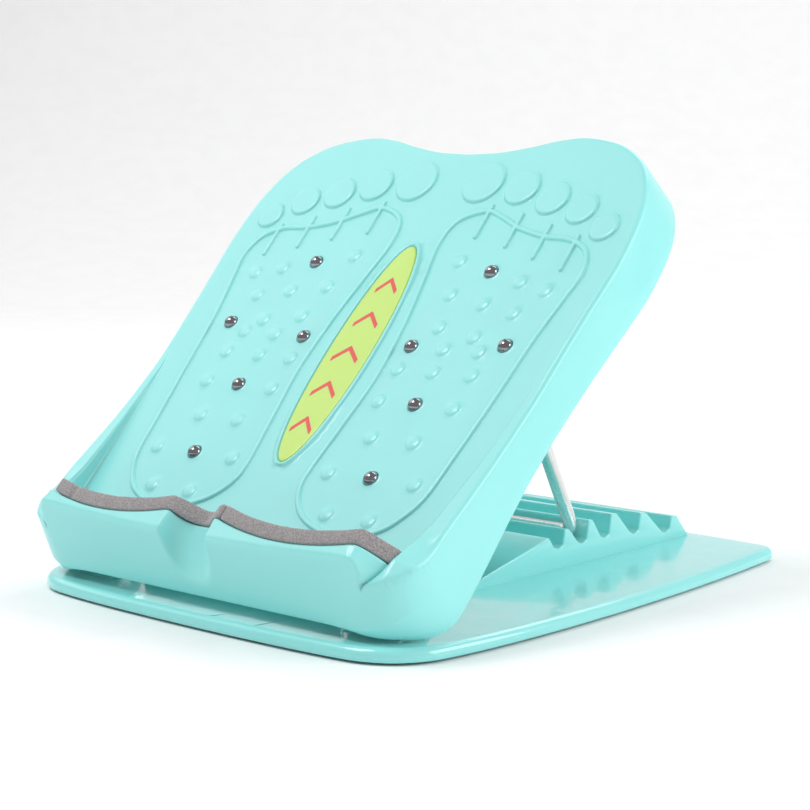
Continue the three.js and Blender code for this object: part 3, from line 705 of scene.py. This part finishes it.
# ---- label --------------------------------------------------------------------------------------
def label():
    b = Builder()
    base = lens_loop(-GAP, 1.5)
    sheet = Sheet(base)
    for d in (0.25, 0.6, 1.2, 2.5):
        sheet.add(inset(base, d))
    sheet.add(sheet.lattice(2.0, 1.0))
    plan, faces, edge = sheet.triangles()
    near = distance(plan, base)
    rise = 1.0 - 0.5 * np.exp(-near / 0.25) + 0.35 * smoothstep(0, 12, near)
    first = b.add(np.column_stack([plan, dish(plan[:, 0], plan[:, 1]) + rise]), faces.tolist())
    rim = [first + i for i in edge[0]]
    low = b.loop(np.column_stack([base, np.full(len(base), -0.5)]))
    b.bridge(low, rim)
    b.add(np.column_stack([plan, np.full(len(plan), -0.5)]), faces[:, ::-1].tolist())
    piece = b.make("label_lens", PLATE, LIME, "plate", slot="lime_plastic")
    marks = Builder()
    for v, size in ((199, 1.0), (175, 1.15), (151, 1.25), (127, 1.15), (103, 1.0)):
        arm, thick = 7.4 * size, 2.4
        outline = rounded([(-arm, -4.2), (-arm, -4.2 - thick * 1.4), (0, 4 - thick * 1.4),
                           (arm, -4.2 - thick * 1.4), (arm, -4.2), (0, 4)],
                          0.5)
        outline = outline + (0, v)
        if ((np.roll(outline, -1, 0) - outline)[:, 0] * (np.roll(outline, -1, 0) + outline)[:, 1]).sum() > 0:
            outline = outline[::-1]
        level = dish(outline[:, 0], outline[:, 1]) + 1.0 + 0.35 * smoothstep(0, 12, distance(outline, base))
        top = marks.loop(np.column_stack([outline, level + 0.12]))
        foot = marks.loop(np.column_stack([outline, level - 0.3]))
        marks.bridge(foot, top)
        marks.faces.append(tuple(top))
        marks.faces.append(tuple(foot[::-1]))
    marks.make("label_chevrons", PLATE, PRINT, "plate", smooth=False, slot="lime_plastic")
    return piece


# ---- steel balls --------------------------------------------------------------------------------
def balls():
    for side, points in BALLS.items():
        for i, (x, v) in enumerate(points, 1):
            arc = np.linspace(-math.pi / 2, math.pi / 2, 33)
            b = lathe([(max(BALL_R * math.cos(a), 0) if abs(a) < 1.57 else 0, BALL_R * math.sin(a)) for a in arc])
            spot = PLATE @ Matrix.Translation(Vector((x, v, dish(x, v) - 0.6)) * MM)
            piece = b.make(f"ball_{side}_{i}", spot, BALL_STEEL_DARKENED_REFLECTION, "plate", slot="polished_ball")
            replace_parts(piece, f"steel_ball_{side}_{i}")


# ---- heel pads ----------------------------------------------------------------------------------
def pad_top(x):
    a = np.abs(x)
    middle = 10 * (0.5 + 0.5 * np.cos(np.pi * np.minimum(a, 19) / 19)) * (a < 19)
    outer = 15 * smoothstep(109, 127, a)
    return PAD_TOP - middle - outer


def heel_pad(name, x0, x1, crease):
    stations = np.arange(x0, x1 + 0.01, (x1 - x0) / round((x1 - x0) / 1.0))
    rng = np.random.default_rng(11)
    waver = np.interp(stations, np.linspace(x0, x1, 24), rng.normal(0, 0.16, 24))
    rings = []
    for x, wave in zip(stations, waver):
        front = float(cup_line(x)) + GAP + 0.05
        rear = front + PAD_THICK - 0.1
        low = 3.2 + crown(x) + GAP
        top = float(pad_top(x)) + wave - crease * math.exp(-((x + 91.5) / 2.2) ** 2)
        end = min(x - x0, x1 - x)
        soft = 0.9 * math.exp(-end / 0.5)
        section = rounded([(front + soft * 0.4, low), (rear - soft * 0.4, low), (rear - soft * 0.4, top - soft),
                           (front + soft * 0.4, top - soft)], (0.5, 0.5, 1.3, 0.9), 4)
        crowned = section.copy()
        upper = crowned[:, 1] > top - 1.4
        middle = (crowned[:, 0] - (front + rear) / 2) / (PAD_THICK / 2)
        crowned[upper, 1] += 0.25 * (1 - middle[upper] ** 2)
        rings.append([(x, p, q) for p, q in crowned])
    b = Builder()
    b.add(*loft(rings))
    piece = b.make(name, PLATE, FOAM, "plate", sharp=50, slot="grey_foam")
    return piece


# ---- wire stand ---------------------------------------------------------------------------------
def wire_stand():
    foot_v, foot_w = to_plate(*CROSSBAR)
    top = lambda x: Vector((x, *PIVOT))
    foot = lambda x: Vector((x, foot_v, foot_w))
    corners = [top(-ROD_X - STUB), top(-ROD_X), foot(-ROD_X), foot(ROD_X), top(ROD_X), top(ROD_X + STUB)]
    flat = (top(0) - foot(0)).cross(Vector((1, 0, 0))).normalized()
    heading = [(b - a).normalized() for a, b in zip(corners, corners[1:])]
    stations = [(corners[0], heading[0], 0.55, 1), (corners[0] + heading[0] * 0.25, heading[0], 0.86, 1),
                (corners[0] + heading[0] * 0.7, heading[0], 1, 1)]
    bend = 8
    for i in range(1, len(corners) - 1):
        a, c = corners[i] - heading[i - 1] * bend, corners[i] + heading[i] * bend
        for t in np.linspace(0, 1, 13):
            t = float(t)
            p = a.lerp(corners[i], t).lerp(corners[i].lerp(c, t), t)
            along = (corners[i] - a).lerp(c - corners[i], t).normalized()
            pinch = 1 - 0.06 * math.sin(math.pi * t) ** 2          # the wire flattens a little where it is bent
            stations.append((p, along, 1, pinch))
    last = corners[-1]
    stations += [(last - heading[-1] * 0.7, heading[-1], 1, 1), (last - heading[-1] * 0.25, heading[-1], 0.86, 1),
                 (last, heading[-1], 0.55, 1)]
    rings = []
    for centre, along, scale, pinch in stations:
        side = along.cross(flat)
        ring = []
        for k in range(32):
            angle = 2 * math.pi * k / 32
            ring.append(centre + flat * (ROD_R * scale * pinch * math.sin(angle))
                        + side * (ROD_R * scale * math.cos(angle)))
        rings.append([tuple(p) for p in ring])
    b = Builder()
    b.add(*loft(rings))
    return b.make("stand_rod", PLATE, ROD_STEEL, "stand", sharp=60, slot="steel_rod")


# ---- base ---------------------------------------------------------------------------------------
def bezier(points, steps=24):
    p = [np.array(q, float) for q in points]
    t = np.linspace(0, 1, steps)[:, None]
    if len(p) == 3:
        return (1 - t) ** 2 * p[0] + 2 * t * (1 - t) * p[1] + t * t * p[2]
    return (1 - t) ** 3 * p[0] + 3 * t * (1 - t) ** 2 * p[1] + 3 * t * t * (1 - t) * p[2] + t ** 3 * p[3]


def base_outline(spacing=1.6):
    right = np.vstack([
        bezier([(0, -16.5), (70, -16.5), (104, -12)]),
        bezier([(104, -12), (122, -9.7), (135, 2), (139, 18)])[1:],
        bezier([(139, 18), (150, 70), (150, 200), (136.2, 311)], 60)[1:],
        bezier([(136.2, 311), (135, 320.5), (126, 321.5)], 12)[1:],
        bezier([(126, 321.5), (60, 325.5), (0, 325.5)])[1:]])
    left = right[::-1][1:] * (-1, 1)
    return resample(np.vstack([right, left]), spacing)


NOTCHES = [(184.2, 20.2, 29.6, 5.4), (206.0, 20.0, 31.5, 5.4), (227.2, 20.0, 31.9, 7), (256.0, 18.0, 28.4, 7),
           (287.6, 14.0, 22.2, 7)]


def rack_profile():
    points, radii = [(92, BASE_TOP - 1.5), (177, 26), (179.5, 26.4)], [0, 2.5, 1.2]
    for y, z, tooth, land in NOTCHES:
        points += [(y - 0.4, z + 0.4), (y + 3.7, z - 1.2), (y + 7.4, z + 0.6), (y + 9.0, tooth),
                   (y + 8 + land, tooth - 0.9)]
        radii += [2.2, 3, 2.2, 1.7, 1.7]
    points += [(316, BASE_TOP - 1.5)]
    radii += [0]
    return rounded(points, radii, 5, closed=False)


def prism(profile, x0, x1, edge=1.2):
    """A closed prism across the board with rounded end edges; the profile is (y, z), clockwise from +X."""
    profile = np.asarray(profile)
    area = ((np.roll(profile, -1, 0) - profile)[:, 0] * (np.roll(profile, -1, 0) + profile)[:, 1]).sum()
    if area > 0:
        profile = profile[::-1]
    rings = []
    steps = [(0, edge), (0.08, 0.6), (0.3, 0.29), (0.62, 0.08), (1, 0)]
    for along, depth in steps:
        rings.append([(x0 + along * edge, *p) for p in inset(profile, depth * edge if depth != edge else edge)])
    for along, depth in reversed(steps):
        rings.append([(x1 - along * edge, *p) for p in inset(profile, depth * edge if depth != edge else edge)])
    return loft(rings)


def base_plate():
    b = Builder()
    outline = base_outline()
    round_r = 4.2
    rings = []
    for a in np.linspace(0, math.pi / 2, 8):
        rings.append((round_r * (1 - math.cos(a)), BASE_TOP - round_r + round_r * math.sin(a)))
    lower = [(0.9, 1.2), (0.3, 1.5), (0.05, 2.4)]
    previous = None
    for depth, z in lower + rings:
        level = b.loop(np.column_stack([inset(outline, depth), np.full(len(outline), z)]))
        if previous:
            b.bridge(previous, level)
        else:
            bottom = level
        previous = level
    top_loop = inset(outline, round_r)
    sheet = Sheet(top_loop)
    sheet.add(sheet.lattice(12, 6))
    plan, faces, loops = sheet.triangles()
    first = b.add(np.column_stack([plan, np.full(len(plan), BASE_TOP)]), faces.tolist())
    b.bridge(previous, [first + i for i in loops[0]])
    inner = inset(outline, WALL + 0.9)
    lip = b.loop(np.column_stack([inner, np.full(len(inner), 1.2)]))
    b.bridge(lip, bottom)
    ceiling_loop = b.loop(np.column_stack([inner, np.full(len(inner), 5.0)]))
    b.bridge(ceiling_loop, lip)
    sheet = Sheet(inner)
    sheet.add(sheet.lattice(14, 7))
    plan, faces, loops = sheet.triangles()
    first = b.add(np.column_stack([plan, np.full(len(plan), 5.0)]), faces[:, ::-1].tolist())
    b.bridge([first + i for i in loops[0]], ceiling_loop)
    slab = b.make("base_slab", BASE, MINT, "base", slot="mint_plastic")

    rack = Builder()
    rack.add(*prism(rack_profile(), -RACK_HALF, RACK_HALF, 1.2))
    rack_piece = rack.make("base_rack", BASE, MINT, "base", slot="mint_plastic")

    hinge_y, hinge_z = to_base(*HINGE)
    pieces = [slab, rack_piece]
    for side, s in (("left", -1), ("right", 1)):
        arc = [(hinge_y + 7 * math.cos(a), hinge_z + 1 + 6 * math.sin(a)) for a in np.linspace(math.pi, 0, 18)]
        profile = [(8, BASE_TOP - 1), (8, BASE_TOP + 0.2), (11.5, 10.6), (hinge_y - 8.5, 13.5)]
        profile += arc + [(hinge_y + 13, BASE_TOP - 1)]
        block = Builder()
        block.add(*prism(profile, s * HINGE_X - BLOCK_HALF, s * HINGE_X + BLOCK_HALF, 0.8))
        pieces.append(block.make(f"hinge_block_{side}", BASE, MINT, "base", sharp=40, slot="mint_plastic"))
    ribs = Builder()
    ribs.add(*prism([(20, BASE_TOP - 1), (23, BASE_TOP - 1), (22.7, 17.9), (20.3, 17.9)], -72, 72, 0.3))
    for x in (-40, 0, 40):
        ribs.add(*prism([(-10, 2.2), (318, 2.2), (318, 6), (-10, 6)], x - 1.2, x + 1.2, 0.3))
    pieces.append(ribs.make("base_ribs", BASE, MINT, "base", sharp=40, slot="mint_plastic"))
    for piece in pieces:
        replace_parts(piece, "base_plate")
    return pieces


# ---- fittings -----------------------------------------------------------------------------------
def underside():
    b = Builder()
    v0, w0 = HINGE
    for s in (-1, 1):
        for x in (HINGE_X - BLOCK_HALF - 2.6, HINGE_X + BLOCK_HALF + 2.6):
            rise = float(crown(x))
            eye = [(v0 + 5.6 * math.cos(a), w0 + 5.6 * math.sin(a)) for a in np.linspace(math.pi, 2 * math.pi, 16)]
            profile = eye + [(v0 + 16, rise + 0.5), (v0 + 1, rise + 1), (v0 - 5, rise + 5), (v0 - 9, rise + 5)]
            b.add(*prism(profile, s * x - 2, s * x + 2, 0.5))
        clip = s * (ROD_X + STUB / 2 + 3)
        v1, w1 = PIVOT
        profile = [(v1 - 18, w1), (v1 - 4.4, w1)] + [
            (v1 + 4.4 * math.cos(a), w1 + 4.4 * math.sin(a)) for a in np.linspace(math.pi, 0, 14)[1:-1]] + [
            (v1 + 4.4, w1), (v1 + 18, w1), (v1 + 20, -1.5), (v1 - 20, -1.5)]
        b.add(*prism(profile, clip - 9, clip + 9, 0.5))
    for x in (-104, -36, 0, 36, 104):
        run = np.linspace(34, 285, 12)
        profile = [(v, float(dish(np.array(x), v)) - WALL + 0.4) for v in run[::-1]]
        b.add(*prism([(40, -7), (280, -7)] + profile, x - 1.2, x + 1.2, 0.3))
    piece = b.make("plate_underside_ribs", PLATE, MINT, "plate", sharp=40, slot="mint_plastic")
    return piece


def clips_and_pins():
    clip_v, clip_w = PIVOT
    inner, thick = ROD_R + GAP, 2.2
    for side, s in (("left", -1), ("right", 1)):
        x = s * (ROD_X + STUB / 2 + 3)
        arc_in = [(inner * math.cos(a), inner * math.sin(a)) for a in np.linspace(-0.2, -math.pi + 0.2, 22)]
        arc_out = [((inner + thick) * math.cos(a), (inner + thick) * math.sin(a))
                   for a in np.linspace(-math.pi + 0.5, -0.5, 22)]
        left_flange = [(-inner, -GAP), (-17.5, -GAP), (-17.5, -2.5), (-7.1, -2.5)]
        profile = [(17.5, -GAP), (inner, -GAP)] + arc_in + left_flange + arc_out + [
            (7.1, -2.5), (17.5, -2.5)]
        b = Builder()
        b.add(*prism([(clip_v + p, clip_w + q) for p, q in profile], x - 7, x + 7, 0.35))
        piece = b.make(f"saddle_clip_{side}", PLATE, FITTING_STEEL, "plate", sharp=45, slot="fittings_steel")
        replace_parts(piece, f"stand_clip_{side}")
        for i, off in enumerate((-13, 13), 1):
            screw = lathe([(0, -4.2), (0.9, -4.2), (0.9, -4.9), (2.6, -4.95), (3.2, -4.4), (3.2, -3.6),
                           (2.6, -2.9), (1.5, -2.85),
                           (1.5, 3.6), (0, 4.4)], 32)
            spot = PLATE @ Matrix.Translation(Vector((x, clip_v + off, clip_w)) * MM)
            piece = screw.make(f"pan_screw_{side}_{i}", spot, FITTING_STEEL, "plate", sharp=45, slot="fittings_steel")
            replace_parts(piece, f"clip_screw_{side}_{i}")
        hinge_y, hinge_z = to_base(*HINGE)
        turn = Matrix.Rotation(s * math.pi / 2, 4, "Y")
        half = BLOCK_HALF + 6.4
        pin = lathe([(0, -half - 2), (3.3, -half - 2), (4.1, -half - 1.3), (4.1, -half + 0.4),
                     (2.5, -half + 0.4), (2.5, half),
                     (1.9, half + 0.8), (0, half + 0.8)], 40)
        spot = BASE @ Matrix.Translation(Vector((s * HINGE_X, hinge_y, hinge_z)) * MM) @ turn
        piece = pin.make(f"pin_{side}", spot, FITTING_STEEL, "base", sharp=40, slot="fittings_steel")
        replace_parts(piece, f"hinge_pin_{side}")
        angle = np.linspace(0, 2 * math.pi, 41)[:-1]
        section = [(2.85, -0.7), (5.1, -0.7), (5.1, 0.3), (3.7, 0.9), (2.85, 0.9)]
        rings = [[(r * math.cos(a), r * math.sin(a), h) for r, h in section] for a in angle]
        nut = Builder()
        nut.add(*loft(rings, closed=True))
        spot = BASE @ Matrix.Translation(Vector((s * (HINGE_X + half - 0.9), hinge_y, hinge_z)) * MM) @ turn
        piece = nut.make(f"push_nut_{side}", spot, FITTING_STEEL, "base", sharp=35, slot="fittings_steel")
        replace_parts(piece, f"hinge_push_nut_{side}")


def rubber_feet():
    spots = [(s * x, y) for s in (-1, 1) for x, y in ((108, 14), (126, 150), (112, 298))]
    for i, (x, y) in enumerate(spots, 1):
        foot = lathe([(0, 0.25), (5.5, 0.25), (6, 0), (8.3, 0), (8.8, 0.25), (9, 0.7), (9, 3.6), (0, 3.6)])
        spot = BASE @ Matrix.Translation(Vector((x, y, 0)) * MM)
        piece = foot.make(f"foot_pad_{i}", spot, RUBBER, "base", sharp=50, slot="foot_rubber")
        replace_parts(piece, f"rubber_foot_{i}")


# ---- build --------------------------------------------------------------------------------------
moulding = foot_plate()
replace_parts(moulding, "foot_plate")
fittings = underside()
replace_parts(fittings, "foot_plate")
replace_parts(label(), "label_insert")
balls()
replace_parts(heel_pad("pad_left", -107, 19.6, 1.1), "heel_pad_left")
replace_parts(heel_pad("pad_right", 20, 124.5, 0), "heel_pad_right")
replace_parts(wire_stand(), "wire_stand")
base_plate()
clips_and_pins()
rubber_feet()


# ---- studio -------------------------------------------------------------------------------------
def studio():
    floor = bpy.data.meshes.new("floor")
    bm = bmesh.new()
    curve = [(1.6 + 1.2 * math.sin(a), 1.2 - 1.2 * math.cos(a)) for a in np.linspace(0.1, math.pi / 2, 14)]
    rows = [(-3, 0), (1.6, 0)] + curve + [(2.8, 4)]
    grid = [[bm.verts.new((x, y, z - 0.0001)) for x in (-4, 4)] for y, z in rows]
    for (a, b), (c, d) in zip(grid, grid[1:]):
        bm.faces.new((a, b, d, c))
    bm.to_mesh(floor)
    bm.free()
    for p in floor.polygons:
        p.use_smooth = True
    backdrop = bpy.data.objects.new("floor", floor)
    bpy.context.scene.collection.objects.link(backdrop)
    backdrop.rotation_euler.z = AZIMUTH
    material, nodes, links, shader = new_material("backdrop_paper")
    grain = noise(nodes, links, 30, 3)
    tint = ramp(nodes, links, grain.outputs["Fac"], (0.93, 0.93, 0.93), (0.95, 0.95, 0.95))
    links.new(tint.outputs["Color"], shader.inputs["Base Color"])
    shader.inputs["Roughness"].default_value = 0.9
    shader.inputs["Specular IOR Level"].default_value = 0.1
    floor.materials.append(material)


AZIMUTH = math.radians(41.63)
ELEVATION = math.radians(7.578)
TARGET = Vector((5.2, -9.8, 96.5)) * MM
DISTANCE = 1.09


def camera():
    data = bpy.data.cameras.new("camera")
    data.sensor_width = 36
    data.lens = 88.25
    data.clip_end = 50
    cam = bpy.data.objects.new("camera", data)
    back = Vector((math.sin(AZIMUTH) * math.cos(ELEVATION), -math.cos(AZIMUTH) * math.cos(ELEVATION),
                   math.sin(ELEVATION)))
    cam.location = TARGET + back * DISTANCE
    cam.rotation_euler = back.to_track_quat("Z", "Y").to_euler()
    bpy.context.scene.collection.objects.link(cam)
    bpy.context.scene.camera = cam


def area_light(name, azimuth, elevation, distance, size, power, aim=(0, 0, 0.1)):
    data = bpy.data.lights.new(name, "AREA")
    data.shape = "RECTANGLE"
    data.size, data.size_y = size
    data.energy = power
    lamp = bpy.data.objects.new(name, data)
    a, e = math.radians(azimuth), math.radians(elevation)
    back = Vector((math.sin(a) * math.cos(e), -math.cos(a) * math.cos(e), math.sin(e)))
    lamp.location = Vector(aim) + back * distance
    lamp.rotation_euler = back.to_track_quat("Z", "Y").to_euler()
    bpy.context.scene.collection.objects.link(lamp)


def lights():
    bpy.context.scene.view_settings.view_transform = "Standard"
    world = bpy.data.worlds.new("studio")
    bpy.context.scene.world = world
    world.use_nodes = True
    world.node_tree.nodes["Background"].inputs["Color"].default_value = (1, 1, 1, 1)
    world.node_tree.nodes["Background"].inputs["Strength"].default_value = 0.45
    area_light("key", -30, 58, 1.9, (0.7, 0.7), 15.5)
    area_light("left", -82, 40, 2.2, (1.8, 1.4), 9)
    area_light("right", 112, 22, 1.8, (1.2, 0.9), 17)
    area_light("back", 190, 60, 2.6, (2, 1.4), 28, (0, 1.0, 0.3))


studio()
camera()
lights()
